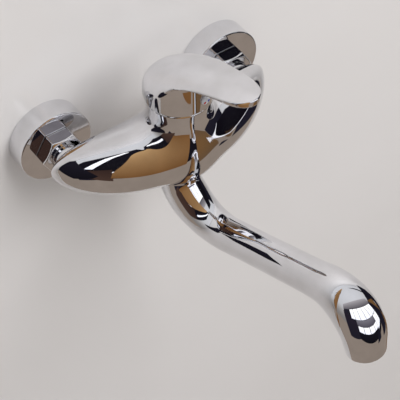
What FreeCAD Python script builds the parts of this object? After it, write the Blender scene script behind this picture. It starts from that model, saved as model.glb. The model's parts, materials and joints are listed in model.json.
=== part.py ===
import FreeCAD, Part
import math
import os
from FreeCAD import Vector

# Wall-mounted single-lever kitchen tap. Millimetres.
# X runs along the wall, +Y runs into the wall, +Z is up. The origin lies on the
# finished wall plane, midway between the two inlet axes.

# Driving dimensions: inlets and wall
INLET_SPACING = 150.0           # centre to centre of the two inlets
INLET_THREAD_R = 10.48          # G1/2 male thread that screws into the wall fitting
WALL_THREAD_LENGTH = 18.0       # length of that thread behind the wall plane
UNION_OFFSET = 8.0              # eccentricity of the offset unions, turned straight down
UNION_THREAD_R = 13.2           # G3/4 male thread of the union on the room side
UNION_END = 20.4                # distance from the wall to the end face of the union
UNION_SHOULDER = 4.0            # thickness of the web that joins the two union axes
UNION_BORE_R = 9.0              # waterway on the room side of the union
WALL_BORE_R = 7.2               # waterway on the wall side of the union

# Driving dimensions: escutcheons
ESCUTCHEON_R = 29.5
ESCUTCHEON_DEPTH = 17.4
ESCUTCHEON_WALL = 1.2
ESCUTCHEON_CHAMFER = 1.2

# Driving dimensions: union nuts, nipples, washers and strainers
NUT_AF = 30.0                   # across flats
NUT_CHAMFER = 30.0              # degrees
NUT_FACE_R = 14.6               # front face of the nut inside its chamfer
NUT_LIP = 4.2                   # thickness of the lip that bears on the nipple flange
NIPPLE_R = 10.4
NIPPLE_BORE_R = 7.5
NIPPLE_FLANGE_R = 12.8
NIPPLE_FLANGE = 2.2
NIPPLE_SCREWED = 9.0            # length screwed into the body
WASHER_THICKNESS = 2.0
WASHER_BORE_R = 8.2
STRAINER_R = 8.0
STRAINER_THICKNESS = 0.6
STRAINER_HOLE_R = 0.8

# Driving dimensions: body casting
BODY_HALF_LENGTH = 92.7
BODY_BACK = 30.5                # distance from the wall to the back of the casting
BODY_TIP_OUT = 38.0             # distance from the wall to the middle of the wing tips
BODY_FRONT = 88.5               # distance from the wall to the front of the casting
BODY_TOP = 24.0                 # height of the wings above the inlet axis
BODY_BOTTOM = 26.5              # depth of the wings below the inlet axis
BODY_WALL = 4.0
CHAMBER_START = 24.0            # distance from the middle to the water chambers
SECTION_POWER = 2.1             # squareness of the wing sections

# Driving dimensions: hub on the casting
HUB_OUT = 63.2                  # distance from the wall to the hub's vertical axis
HUB_R = 25.7                    # outer radius of the lever's skirt, which crowns the hub
HUB_RIM_R = 23.9                # radius of the hub itself at its rim, inside the skirt's line
HUB_RIM_EDGE = 0.4
HUB_TOP = 46.5
SPOUT_JOINT_Z = -31.0
JOINT_R = 14.6
# Depth below the hub's top, and how much slimmer than its rim the casting is there
TRUNK_WAIST = [(4.5, 0.5), (10.0, 1.1), (18.0, 1.6), (30.0, 1.9), (50.0, 1.7)]
# Height above the spout joint, and how much wider than the joint the casting is there
TRUNK_FOOT = [(17.0, 6.6), (9.5, 3.2), (3.5, 0.7)]

# Driving dimensions: cartridge
CARTRIDGE_FLOOR = 26.0
CARTRIDGE_R = 17.4
CARTRIDGE_WALL = 1.8
CARTRIDGE_SHOULDER = 43.5       # top of the housing, where the nut bears
BASE_THICKNESS = 4.0
SEAL_LIFT = 0.3                 # height that the rubber seals hold the base off its seat
SEAL_WALL = 1.5
PORT_R = 3.2
PORT_SPREAD = 7.0               # sideways from the middle to the hot and cold ports
PORT_REACH = 4.0                # how far in front of the hub axis those ports lie
OUTLET_BACK = 6.5               # how far behind the hub axis the mixed port lies
FIXED_DISC = 3.2                # disc thickness
MOVING_DISC = 3.0
MOVING_DISC_R = 12.0
CARRIER_THICKNESS = 3.8
CARRIER_R = 12.6
CARRIER_FLOOR = 0.8
SLEEVE_R = 13.1
SLEEVE_FLANGE_R = 15.2
SLEEVE_FLANGE = 1.2
SLEEVE_TOP = 55.0
PIVOT_Z = 50.0                  # height of the stem pin
PIN_R = 1.5
STEM_SIZE = 8.0                 # side of the square stem
STEM_TOP = 70.0
BALL_R = 2.6
BALL_DROP = 9.8                 # from the pin down to the centre of the stem's ball
NECK_R = 2.3

# Driving dimensions: cartridge nut and cover ring
CARTRIDGE_NUT_R = 20.4
CARTRIDGE_NUT_TOP = 50.0
CARTRIDGE_NUT_AF = 34.0
CARTRIDGE_NUT_BORE_R = 14.0
COVER_R = 23.7                  # spherical radius about the stem pin
COVER_TOP = 55.0
COVER_WALL = 1.5

# Driving dimensions: lever
LEVER_SWIVEL = 12.0             # degrees from straight out, towards +X
LEVER_LIFT = 20.0               # full travel in degrees
LEVER_CREST_REACH = 61.0        # reach of the highest point of the top
LEVER_CREST_Z = 88.0
LEVER_LONG_R = 155.0            # curvature of the top along the lever
LEVER_CROWN_R = 48.0            # curvature of the top across the lever
LEVER_PLATE = 5.2               # thickness of the grip along its middle
LEVER_ROOF = 4.5                # thickness of the top over the hub
LEVER_REACH = 71.5
LEAF_START = 8.0                # reach at which the grip leaves the round hub
# Reach and half width of the grip between there and its tip
LEAF = [(24.0, 19.6), (38.0, 16.9), (52.0, 15.0), (62.0, 12.4), (68.5, 7.6)]
SKIRT_WALL = 1.7
SKIRT_GAP = 1.8                 # gap between the lever's lower edge and the hub
SKIRT_LIFT_GAP = 0.5            # what is left of that gap behind, when the lever is up
BOSS_R = 8.4
BOSS_BOTTOM = 60.5
RIB_BOTTOM = 55.6
RIB_WIDTH = 10.0
SCREW_Z = 58.6
SCREW_R = 2.5
SCREW_LENGTH = 7.0
SCREW_SOCKET_AF = 2.5
PLUG_R = 3.0
PLUG_HEAD_LONG = 4.6            # half width of the oval head
PLUG_HEAD_SHORT = 4.3           # half height of the oval head
PLUG_HEAD = 1.2
MARK_R = 1.0
MARK_SIDE = 1.9                 # how far left and right of the middle the two marks lie
MARK_SINK = 2.2                 # and how far below it
MARK_DEPTH = 0.3

# Driving dimensions: spout
SPOUT_SWIVEL = 12.0             # degrees from straight out, towards +X
SPOUT_WALL = 2.6
SPOUT_GAP = 0.5
NECK_BEND_R = 22.0              # first bend, out of the upright
NECK_BEND = 35.0                # degrees
LOW_BEND_R = 46.9               # long low bend, up into the straight run
LOW_BEND = 66.0                 # degrees
SPOUT_RUN = 88.2
END_BEND_R = 34.0               # bend down towards the outlet
MOUTH_LEAN = 12.0               # degrees that the outlet leans outwards
MOUTH_RUN = 13.5
CAVITY_START = 15.0             # distance from the spout's top to the start of its hollow
# Where the spout is swollen or slim: pieces of its route that are passed, and radius
SPOUT_RADII = [(0.5, 15.2), (1.14, 15.8), (1.51, 14.6), (1.92, 13.5), (2.17, 13.3), (2.42, 13.3),
               (2.68, 13.5), (2.93, 13.9), (3.12, 15.0), (3.41, 16.8), (3.67, 17.6), (4.0, 16.5),
               (4.5, 15.6), (5.0, 14.8)]
NIPPLE_SPOUT_R = 9.9
NIPPLE_SPOUT_BORE_R = 6.5
NIPPLE_SPOUT_TOP = -7.0
NIPPLE_SPOUT_FOOT = 8.0         # length seated inside the spout
ORING_R = 1.3
ORING_SQUEEZE = 0.15
ORING_LOW = -25.5
ORING_HIGH = -19.5
GROOVE_Z = -13.0
GROOVE_HALF = 1.6
GROOVE_DEPTH = 1.6
GRUB_R = 2.0
GRUB_LENGTH = 8.0
GRUB_TIP_GAP = 0.3
GLIDE_RING_R = 13.6

# Driving dimensions: aerator
AERATOR_R = 12.0                # M24 male thread
AERATOR_LENGTH = 10.0
AERATOR_LIP = 1.6
AERATOR_LIP_R = 13.2
AERATOR_WALL = 1.6
AERATOR_SEAT = 2.0              # thickness of the ledge that the aerator's washer meets
AERATOR_SEAT_R = 9.5
AERATOR_WASHER = 2.2
MESH_THICKNESS = 0.6
MESH_HOLE_R = 0.7
INSERT_LENGTH = 5.0
INSERT_HOLE_R = 0.9

# Clearances
THREAD_GAP = 0.05
RUNNING_GAP = 0.07
SLIDE_GAP = 0.02
COVER_GAP = 0.2
FREE_GAP = 0.3

# Values that follow
INLET_X = INLET_SPACING / 2
HUB_AXIS = Vector(0, -HUB_OUT, 0)
UP = Vector(0, 0, 1)
ROOM = Vector(0, -1, 0)         # out of the wall, into the room
ALONG = Vector(1, 0, 0)
NUT_START = ESCUTCHEON_DEPTH + FREE_GAP
WASHER_END = UNION_END + WASHER_THICKNESS
FLANGE_END = WASHER_END + NIPPLE_FLANGE
NUT_END = FLANGE_END + NUT_LIP
BORE_R = CARTRIDGE_R + 0.15
BASE_BOTTOM = CARTRIDGE_FLOOR + SEAL_LIFT
DISC_SEAT = BASE_BOTTOM + BASE_THICKNESS
MOVING_SEAT = DISC_SEAT + FIXED_DISC + SLIDE_GAP
CARRIER_SEAT = MOVING_SEAT + MOVING_DISC
HOUSING_ROOF = CARTRIDGE_SHOULDER - CARTRIDGE_WALL
SLEEVE_BOTTOM = HOUSING_ROOF - SLIDE_GAP - SLEEVE_FLANGE
BALL_Z = PIVOT_Z - BALL_DROP
SLIDER_TRAVEL = BALL_DROP * math.radians(LEVER_LIFT)
CAVITY_R = HUB_R - SKIRT_WALL
APRON_BOTTOM = HUB_TOP + SKIRT_GAP
SPOUT_TOP = SPOUT_JOINT_Z - SPOUT_GAP
SPOUT_BORE_R = NIPPLE_SPOUT_R + RUNNING_GAP


def cylinder(radius, start, end):
    """A solid rod between two points."""
    axis = end - start
    return Part.makeCylinder(radius, axis.Length, start, axis)


def at_hub(z, reach=0.0, side=0.0):
    """A point by its height, its reach out from the hub axis and its side offset."""
    return Vector(side, -HUB_OUT - reach, z)


def hub_rod(radius, low, high, reach=0.0, side=0.0):
    """An upright rod, on the hub axis unless it is shifted."""
    return cylinder(radius, at_hub(low, reach, side), at_hub(high, reach, side))


def hub_ring(outer, inner, low, high):
    """An upright tube round the hub axis."""
    return hub_rod(outer, low, high).cut(hub_rod(inner, low - 1, high + 1))


def prism(sides, across_flats, start, axis, turn=0.0):
    """A regular prism that starts at a point; turn rotates it about its axis."""
    corner_r = across_flats / 2 / math.cos(math.pi / sides)
    rod = Part.makePolygon([
        Vector(corner_r * math.cos(2 * math.pi * k / sides),
               corner_r * math.sin(2 * math.pi * k / sides), 0)
        for k in list(range(sides)) + [0]])
    solid = Part.Face(rod).extrude(UP * axis.Length)
    solid.rotate(Vector(), UP, turn)
    solid.Placement = FreeCAD.Placement(start, FreeCAD.Rotation(UP, axis)).multiply(solid.Placement)
    return solid


def swung(shape, degrees):
    """The shape turned about the hub's vertical axis."""
    copy = shape.copy()
    copy.rotate(HUB_AXIS, UP, degrees)
    return copy


def save(name, shape):
    shape = shape.removeSplitter()
    solids = shape.Solids
    result = solids[0] if len(solids) == 1 else Part.makeCompound(solids)
    result.exportStep("parts/" + name + ".step")
    print(name, len(solids), "solid", round(result.Volume, 1), result.isValid())


# Body casting

def wing_section(x, inset=0.0):
    """The closed outline of the wings at one distance along the wall."""
    part = abs(x) / BODY_HALF_LENGTH
    front = BODY_TIP_OUT + (BODY_FRONT - BODY_TIP_OUT) * (1 - part ** 2) ** 0.667 - inset
    back = BODY_BACK + (BODY_TIP_OUT - BODY_BACK) * part ** 10 + inset
    top = BODY_TOP * (1 - part ** 3) ** 0.42 - inset
    bottom = BODY_BOTTOM * (1 - part ** 3) ** 0.5 - inset
    middle = Vector(x, -(front + back) / 2, (top - bottom) / 2)
    half_depth = (front - back) / 2
    half_height = (top + bottom) / 2
    points = []
    for k in range(24):
        angle = 2 * math.pi * k / 24
        c = math.cos(angle)
        s = math.sin(angle)
        points.append(middle + Vector(
            0,
            math.copysign(abs(c) ** (2 / SECTION_POWER), c) * half_depth,
            math.copysign(abs(s) ** (2 / SECTION_POWER), s) * half_height))
    curve = Part.BSplineCurve()
    curve.interpolate(Points=points, PeriodicFlag=True)
    return Part.Wire([curve.toShape()])


def wing_loft(ends, steps, inset=0.0):
    """A loft through wing sections, crowded towards the outer end."""
    low, high = ends
    stations = []
    for k in range(steps + 1):
        share = k / steps
        stations.append(low + (high - low) * math.sin(share * math.pi / 2))
    return Part.makeLoft([wing_section(x, inset) for x in stations], True, False)


def wings():
    tip = BODY_HALF_LENGTH * 0.9985
    sections = [wing_section(tip * math.sin(math.pi / 2 * k / 9)) for k in range(-9, 10)]
    return Part.makeLoft(sections, True, False)


def trunk():
    """The hub and the stem below it, down to the spout joint."""
    points = [at_hub(HUB_TOP - HUB_RIM_EDGE, HUB_RIM_R)]
    points += [at_hub(HUB_TOP - depth, HUB_RIM_R - slimmer) for depth, slimmer in TRUNK_WAIST]
    points += [at_hub(SPOUT_JOINT_Z + rise, JOINT_R + wider) for rise, wider in TRUNK_FOOT]
    side = Part.BSplineCurve()
    side.interpolate(points)
    rim_top = at_hub(HUB_TOP, HUB_RIM_R - HUB_RIM_EDGE)
    lip = at_hub(SPOUT_JOINT_Z, JOINT_R)
    edges = [
        Part.LineSegment(at_hub(HUB_TOP), rim_top).toShape(),
        Part.LineSegment(rim_top, points[0]).toShape(),
        side.toShape(),
        Part.LineSegment(points[-1], lip).toShape(),
        Part.LineSegment(lip, at_hub(SPOUT_JOINT_Z)).toShape(),
        Part.LineSegment(at_hub(SPOUT_JOINT_Z), at_hub(HUB_TOP)).toShape()]
    return Part.Face(Part.Wire(edges)).revolve(HUB_AXIS, UP, 360)


def ports():
    """Hot, cold and mixed waterways between the chambers, cartridge and spout."""
    floor = CARTRIDGE_FLOOR + 0.5
    ways = []
    for side in (-1, 1):
        mouth = at_hub(floor, PORT_REACH, side * PORT_SPREAD)
        chamber = at_hub(4.0, -6.0, side * (CHAMBER_START + 4))
        ways.append(cylinder(PORT_R, mouth, chamber))
    ways.append(cylinder(PORT_R, at_hub(floor, -OUTLET_BACK), at_hub(NIPPLE_SPOUT_TOP)))
    return ways


def mixer_body():
    body = wings().fuse(trunk())
    tools = ports()
    for side in (-1, 1):
        ends = (side * CHAMBER_START, side * (BODY_HALF_LENGTH - 2 * BODY_WALL))
        tools.append(wing_loft(ends, 6, BODY_WALL))
        inlet = Vector(side * INLET_X, 0, 0)
        tools.append(cylinder(NIPPLE_R + THREAD_GAP, inlet + ROOM * (BODY_BACK - 2),
                              inlet + ROOM * (BODY_BACK + BODY_WALL + 8)))
    tools.append(hub_rod(BORE_R, CARTRIDGE_FLOOR, HUB_TOP + 1))
    tools.append(hub_rod(CARTRIDGE_NUT_R + THREAD_GAP, CARTRIDGE_SHOULDER - 3, HUB_TOP + 1))
    tools.append(hub_rod(SPOUT_BORE_R, SPOUT_JOINT_Z - 1, NIPPLE_SPOUT_TOP + 1.5))
    screw_hole_start = at_hub(GROOVE_Z, 0)
    tools.append(cylinder(GRUB_R + THREAD_GAP, screw_hole_start,
                          Vector(0, -BODY_BACK + 2, GROOVE_Z)))
    return body.cut(tools)


def spout_grub_screw():
    tip = HUB_OUT - (NIPPLE_SPOUT_R - GROOVE_DEPTH + GRUB_TIP_GAP)
    start = Vector(0, -tip, GROOVE_Z)
    end = start - ROOM * GRUB_LENGTH
    screw = cylinder(GRUB_R, start, end)
    socket = prism(6, 2.0, end + ROOM * 2.5, -ROOM * 3)
    cone = Part.makeCone(GRUB_R - 0.9, GRUB_R, 0.9, start, -ROOM)
    block = cylinder(GRUB_R + 1, start, start - ROOM * 0.9).cut(cone)
    return screw.cut([socket, block])


# Inlets

def s_union(side):
    room_axis = Vector(side * INLET_X, 0, 0)
    wall_axis = room_axis - UP * UNION_OFFSET
    into_wall = -ROOM
    room_end = room_axis + ROOM * UNION_END
    outer = cylinder(UNION_THREAD_R, room_end, room_axis)
    web = cylinder(INLET_THREAD_R + 2, wall_axis + ROOM * UNION_SHOULDER, wall_axis)
    tail = cylinder(INLET_THREAD_R, wall_axis, wall_axis + into_wall * WALL_THREAD_LENGTH)
    bore = cylinder(UNION_BORE_R, room_end + ROOM, room_axis + ROOM * 2)
    wall_bore = cylinder(WALL_BORE_R, wall_axis + ROOM * (UNION_SHOULDER + 4),
                         wall_axis + into_wall * (WALL_THREAD_LENGTH + 1))
    return outer.fuse([web, tail]).cut([bore, wall_bore])


def escutcheon(side):
    centre = Vector(side * INLET_X, 0, 0)
    front = centre + ROOM * ESCUTCHEON_DEPTH
    shell = cylinder(ESCUTCHEON_R, centre, front)
    rim = [edge for edge in shell.Edges
           if edge.Curve.TypeId == "Part::GeomCircle" and abs(edge.Curve.Center.y - front.y) < 0.01]
    shell = shell.makeChamfer(ESCUTCHEON_CHAMFER, rim)
    hollow = cylinder(ESCUTCHEON_R - ESCUTCHEON_WALL, centre - ROOM, front - ROOM * ESCUTCHEON_WALL)
    hole = cylinder(UNION_THREAD_R + THREAD_GAP, centre, front + ROOM)
    collar = cylinder(UNION_THREAD_R + 2, front - ROOM * 6, front - ROOM * ESCUTCHEON_WALL)
    return shell.cut(hollow).fuse(collar).cut(hole)


def union_nut(side):
    centre = Vector(side * INLET_X, 0, 0)
    start = centre + ROOM * NUT_START
    length = NUT_END - NUT_START
    nut = prism(6, NUT_AF, start, ROOM * length)
    cone_r = NUT_FACE_R + length / math.tan(math.radians(NUT_CHAMFER))
    front_cone = Part.makeCone(cone_r, NUT_FACE_R, length, start, ROOM)
    nut = nut.common(front_cone)
    thread = cylinder(UNION_THREAD_R + THREAD_GAP, start - ROOM, centre + ROOM * FLANGE_END)
    hole = cylinder(NIPPLE_R + RUNNING_GAP, start, centre + ROOM * (NUT_END + 1))
    return nut.cut([thread, hole])


def inlet_nipple(side):
    centre = Vector(side * INLET_X, 0, 0)
    flange = cylinder(NIPPLE_FLANGE_R, centre + ROOM * WASHER_END, centre + ROOM * FLANGE_END)
    tube = cylinder(NIPPLE_R, centre + ROOM * WASHER_END,
                    centre + ROOM * (BODY_BACK + NIPPLE_SCREWED))
    bore = cylinder(NIPPLE_BORE_R, centre + ROOM * (WASHER_END - 1),
                    centre + ROOM * (BODY_BACK + NIPPLE_SCREWED + 1))
    return flange.fuse(tube).cut(bore)


def filter_washer(side):
    centre = Vector(side * INLET_X, 0, 0)
    ring = cylinder(NIPPLE_FLANGE_R, centre + ROOM * UNION_END, centre + ROOM * WASHER_END)
    return ring.cut(cylinder(WASHER_BORE_R, centre, centre + ROOM * (WASHER_END + 1)))


def strainer(side):
    """A round sieve plate held in the washer."""
    start = Vector(side * INLET_X, -UNION_END - 0.7, 0)
    plate = cylinder(WASHER_BORE_R, start, start + ROOM * STRAINER_THICKNESS)
    holes = []
    for ring in (1, 2, 3):
        count = 6 * ring
        for k in range(count):
            angle = 2 * math.pi * k / count
            place = start + Vector(math.cos(angle), 0, math.sin(angle)) * (ring * 2.2)
            holes.append(cylinder(STRAINER_HOLE_R, place - ROOM, place + ROOM * 2))
    return plate.cut(holes)


# Cartridge

def port_places():
    """Reach and side offsets of the hot, cold and mixed water ports."""
    return [(PORT_REACH, -PORT_SPREAD), (PORT_REACH, PORT_SPREAD), (-OUTLET_BACK, 0.0)]


def port_rods(radius, low, high):
    return [hub_rod(radius, low, high, reach, side) for reach, side in port_places()]


def cartridge_base():
    base = hub_rod(CARTRIDGE_R, BASE_BOTTOM, DISC_SEAT)
    recess = port_rods(PORT_R + SEAL_WALL, BASE_BOTTOM - 1, BASE_BOTTOM + SEAL_WALL)
    return base.cut(port_rods(PORT_R, BASE_BOTTOM - 1, DISC_SEAT + 1) + recess)


def base_seals():
    top = BASE_BOTTOM + SEAL_WALL
    rings = port_rods(PORT_R + SEAL_WALL, CARTRIDGE_FLOOR, top)
    holes = port_rods(PORT_R, CARTRIDGE_FLOOR - 1, top + 1)
    return Part.makeCompound([ring.cut(hole) for ring, hole in zip(rings, holes)])


def cartridge_housing():
    shell = hub_ring(CARTRIDGE_R, CARTRIDGE_R - CARTRIDGE_WALL, DISC_SEAT, CARTRIDGE_SHOULDER)
    roof = hub_ring(CARTRIDGE_R, SLEEVE_R + RUNNING_GAP, HOUSING_ROOF, CARTRIDGE_SHOULDER)
    return shell.fuse(roof)


def fixed_ceramic_disc():
    disc = hub_rod(CARTRIDGE_R - CARTRIDGE_WALL, DISC_SEAT, DISC_SEAT + FIXED_DISC)
    return disc.cut(port_rods(PORT_R - 0.5, DISC_SEAT - 1, DISC_SEAT + FIXED_DISC + 1))


def moving_ceramic_disc():
    """Built with its mixing hollow on the underside, over the ports."""
    shift = -SLIDER_TRAVEL / 2
    disc = hub_rod(MOVING_DISC_R, MOVING_SEAT, CARRIER_SEAT, shift)
    hollow = hub_rod(PORT_R + 2.4, MOVING_SEAT - 1, MOVING_SEAT + MOVING_DISC * 0.6, shift - 1)
    return disc.cut(hollow)


def disc_carrier():
    shift = -SLIDER_TRAVEL / 2
    plate = hub_rod(CARRIER_R, CARRIER_SEAT, CARRIER_SEAT + CARRIER_THICKNESS, shift)
    socket = hub_rod(BALL_R + 0.15, CARRIER_SEAT + CARRIER_FLOOR,
                     CARRIER_SEAT + CARRIER_THICKNESS + 1)
    return plate.cut(socket)


def swivel_sleeve():
    flange = hub_rod(SLEEVE_FLANGE_R, SLEEVE_BOTTOM, SLEEVE_BOTTOM + SLEEVE_FLANGE)
    barrel = hub_rod(SLEEVE_R, SLEEVE_BOTTOM, SLEEVE_TOP)
    swing = (PIVOT_Z - SLEEVE_BOTTOM) * math.tan(math.radians(LEVER_LIFT))
    half_slot = STEM_SIZE / 2 + swing + 0.8
    side_gap = STEM_SIZE / 2 + FREE_GAP
    slot = Part.makeBox(2 * side_gap, 2 * half_slot, SLEEVE_TOP - SLEEVE_BOTTOM + 2,
                        at_hub(SLEEVE_BOTTOM - 1, half_slot, -side_gap))
    pin_hole = cylinder(PIN_R, at_hub(PIVOT_Z, 0, -SLEEVE_R - 1), at_hub(PIVOT_Z, 0, SLEEVE_R + 1))
    return flange.fuse(barrel).cut([slot, pin_hole])


def stem_pin():
    half = SLEEVE_R - 0.3
    return cylinder(PIN_R, at_hub(PIVOT_Z, 0, -half), at_hub(PIVOT_Z, 0, half))


def cartridge_stem():
    half = STEM_SIZE / 2
    shank_low = PIVOT_Z - half - 1
    shank = Part.makeBox(STEM_SIZE, STEM_SIZE, STEM_TOP - shank_low, at_hub(shank_low, half, -half))
    neck = hub_rod(NECK_R, BALL_Z, shank_low + 1)
    ball = Part.makeSphere(BALL_R, at_hub(BALL_Z))
    hole = cylinder(PIN_R + RUNNING_GAP, at_hub(PIVOT_Z, 0, -half - 1),
                    at_hub(PIVOT_Z, 0, half + 1))
    return shank.fuse([neck, ball]).cut(hole)


def cartridge_nut():
    ring = hub_rod(CARTRIDGE_NUT_R, CARTRIDGE_SHOULDER, CARTRIDGE_NUT_TOP)
    hexagon = prism(6, CARTRIDGE_NUT_AF, at_hub(HUB_TOP + 1), UP * 10)
    lower = hub_rod(CARTRIDGE_NUT_R, CARTRIDGE_SHOULDER, HUB_TOP + 1)
    bore = hub_rod(CARTRIDGE_NUT_BORE_R, CARTRIDGE_SHOULDER - 1, CARTRIDGE_NUT_TOP + 1)
    return ring.common(lower.fuse(hexagon)).cut(bore)


def cover_ring():
    """The polished ring under the lever, part of a ball about the stem pin."""
    ball = Part.makeSphere(COVER_R, at_hub(PIVOT_Z))
    band = ball.common(hub_rod(COVER_R + 1, HUB_TOP, COVER_TOP))
    hollow = hub_rod(CARTRIDGE_NUT_R + THREAD_GAP, HUB_TOP - 1, COVER_TOP - COVER_WALL)
    bore = hub_rod(CARTRIDGE_NUT_BORE_R, HUB_TOP, COVER_TOP + 1)
    return band.cut([hollow, bore])


# Lever, built straight out from the wall and swung afterwards

def lever_torus(offset=0.0):
    """The solid under the lever's doubly curved top, sunk by an offset."""
    centre = at_hub(LEVER_CREST_Z - LEVER_LONG_R, LEVER_CREST_REACH)
    return Part.makeTorus(LEVER_LONG_R - LEVER_CROWN_R, LEVER_CROWN_R - offset, centre, ALONG)


def lever_hollow():
    """What lies under the grip: curved along the lever and level across it."""
    middle = at_hub(LEVER_CREST_Z - LEVER_LONG_R, LEVER_CREST_REACH)
    side = ALONG * (2 * HUB_R)
    return cylinder(LEVER_LONG_R - LEVER_PLATE, middle - side, middle + side)


def lever_outline():
    """The plan of the lever: the round hub that runs out into a leaf."""
    start_width = (HUB_R ** 2 - LEAF_START ** 2) ** 0.5
    half = [(LEAF_START, start_width)] + LEAF + [(LEVER_REACH, 0.0)]
    mirrored = [(reach, -side) for reach, side in half[-2::-1]]
    leaf = Part.BSplineCurve()
    leaf.interpolate([at_hub(APRON_BOTTOM, reach, side) for reach, side in half + mirrored])
    start = at_hub(APRON_BOTTOM, LEAF_START, start_width)
    end = at_hub(APRON_BOTTOM, LEAF_START, -start_width)
    rear = Part.Arc(end, at_hub(APRON_BOTTOM, -HUB_R), start)
    return Part.Wire([leaf.toShape(), rear.toShape()])


def skirt_keep():
    """The space above the lever's lower edge, which rises behind to clear the hub."""
    lift = math.radians(LEVER_LIFT)
    low = APRON_BOTTOM
    hub = HUB_TOP + SKIRT_LIFT_GAP - PIVOT_Z
    corner = ((low - PIVOT_Z) * math.cos(lift) - hub) / math.sin(lift)
    far = HUB_R + 5
    rear_low = PIVOT_Z + (hub + far * math.sin(lift)) / math.cos(lift)
    top = LEVER_CREST_Z + 5
    points = [at_hub(low, far, -far), at_hub(low, -corner, -far),
              at_hub(rear_low, -far, -far), at_hub(top, -far, -far), at_hub(top, far, -far)]
    face = Part.Face(Part.makePolygon(points + [points[0]]))
    return face.extrude(ALONG * (2 * far))


def lift_clearance():
    """What the cover ring sweeps inside the lever when the lever is up."""
    ball = Part.makeSphere(COVER_R + COVER_GAP, at_hub(PIVOT_Z))
    swept = ball.common(hub_rod(COVER_R + 2, PIVOT_Z - COVER_R, COVER_TOP + SKIRT_LIFT_GAP))
    swept.rotate(at_hub(PIVOT_Z), ALONG, LEVER_LIFT)
    return swept


def lever_handle():
    plan = Part.Face(lever_outline()).extrude(UP * (LEVER_CREST_Z - APRON_BOTTOM + 5))
    under_top = lever_torus()
    grip = plan.common(under_top).cut(lever_hollow())
    roof = hub_rod(HUB_R, APRON_BOTTOM, LEVER_CREST_Z).common(under_top)
    roof = roof.cut(lever_torus(LEVER_ROOF))
    skirt = hub_ring(HUB_R, CAVITY_R, APRON_BOTTOM, LEVER_CREST_Z).common(under_top)
    skirt = skirt.common(skirt_keep())
    boss = hub_rod(BOSS_R, BOSS_BOTTOM, LEVER_CREST_Z).common(under_top)
    rib_start = STEM_SIZE / 2
    rib = Part.makeBox(RIB_WIDTH, CAVITY_R + 1 - rib_start, LEVER_CREST_Z - RIB_BOTTOM,
                       at_hub(RIB_BOTTOM, CAVITY_R + 1, -RIB_WIDTH / 2)).common(under_top)
    handle = grip.fuse([roof, skirt, boss, rib]).cut(lift_clearance())
    half = STEM_SIZE / 2 + RUNNING_GAP
    socket = Part.makeBox(2 * half, 2 * half, STEM_TOP - RIB_BOTTOM + 1.5,
                          at_hub(RIB_BOTTOM - 1, half, -half))
    screw_hole = cylinder(SCREW_R + THREAD_GAP, at_hub(SCREW_Z, 0), at_hub(SCREW_Z, HUB_R))
    plug_hole = cylinder(PLUG_R, at_hub(SCREW_Z, HUB_R - 6), at_hub(SCREW_Z, HUB_R + 2))
    return handle.cut([socket, screw_hole, plug_hole])


def lever_set_screw():
    start = at_hub(SCREW_Z, STEM_SIZE / 2)
    end = start + ROOM * SCREW_LENGTH
    socket = prism(6, SCREW_SOCKET_AF, end - ROOM * 3, ROOM * 4)
    return cylinder(SCREW_R, start, end).cut(socket)


def plug_head():
    """An oval button whose back follows the round wall of the lever."""
    rod = hub_rod(HUB_R + PLUG_HEAD, SCREW_Z - 8, SCREW_Z + 8)
    oval = Part.Ellipse(Vector(0, 0, 0), PLUG_HEAD_LONG, PLUG_HEAD_SHORT).toShape()
    face = Part.Face(Part.Wire([oval]))
    face.rotate(Vector(), ALONG, 90)
    face.translate(at_hub(SCREW_Z, HUB_R - 4))
    pillar = face.extrude(ROOM * 8)
    return rod.common(pillar).cut(hub_rod(HUB_R, SCREW_Z - 9, SCREW_Z + 9))


def mark_rod(side):
    """The bore of an index mark; its floor is flat and lies a mark's depth under the head."""
    height = SCREW_Z - MARK_SINK
    head_r = HUB_R + PLUG_HEAD
    surface = (head_r ** 2 - MARK_SIDE ** 2) ** 0.5
    floor = at_hub(height, surface - MARK_DEPTH, side * MARK_SIDE)
    return cylinder(MARK_R, floor, at_hub(height, head_r + 1, side * MARK_SIDE))


def index_plug():
    stalk = cylinder(PLUG_R - THREAD_GAP, at_hub(SCREW_Z, HUB_R - 4), at_hub(SCREW_Z, HUB_R + 0.3))
    plug = plug_head().fuse(stalk)
    return plug.cut([mark_rod(-1), mark_rod(1)])


def index_mark(side):
    return mark_rod(side).common(hub_rod(HUB_R + PLUG_HEAD, SCREW_Z - 8, SCREW_Z + 8))


# Spout, built straight out from the wall and swung afterwards

def spout_route():
    """Turn in degrees and length of each piece: bends have an arc, runs have no turn."""
    end_bend = NECK_BEND + LOW_BEND - MOUTH_LEAN
    return [(NECK_BEND, NECK_BEND_R * math.radians(NECK_BEND)),
            (LOW_BEND, LOW_BEND_R * math.radians(LOW_BEND)), (0.0, SPOUT_RUN),
            (-end_bend, END_BEND_R * math.radians(end_bend)), (0.0, MOUTH_RUN)]


def spout_place(station):
    """Point and direction of the centre line; a station counts the pieces passed."""
    reach, z, lean = 0.0, SPOUT_TOP, 0.0
    for turn, length in spout_route():
        share = min(max(station, 0.0), 1.0)
        station -= 1.0
        half_turn = math.radians(turn * share) / 2
        chord = length * share
        if half_turn:
            chord *= math.sin(half_turn) / half_turn
        reach += chord * math.sin(lean + half_turn)
        z -= chord * math.cos(lean + half_turn)
        lean += 2 * half_turn
    return at_hub(z, reach), Vector(0, -math.sin(lean), -math.cos(lean))


def spout_station(distance):
    """How many pieces of the route are passed after a distance along it."""
    passed = 0.0
    for turn, length in spout_route():
        passed += min(distance / length, 1.0)
        distance = max(distance - length, 0.0)
    return passed


def spout_ring(station, radius):
    place, direction = spout_place(station)
    return Part.Wire([Part.makeCircle(radius, place, direction)])


def spout_outside():
    rings = [spout_ring(0.0, JOINT_R)] + [spout_ring(at, radius) for at, radius in SPOUT_RADII]
    return Part.makeLoft(rings, True, False)


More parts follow.
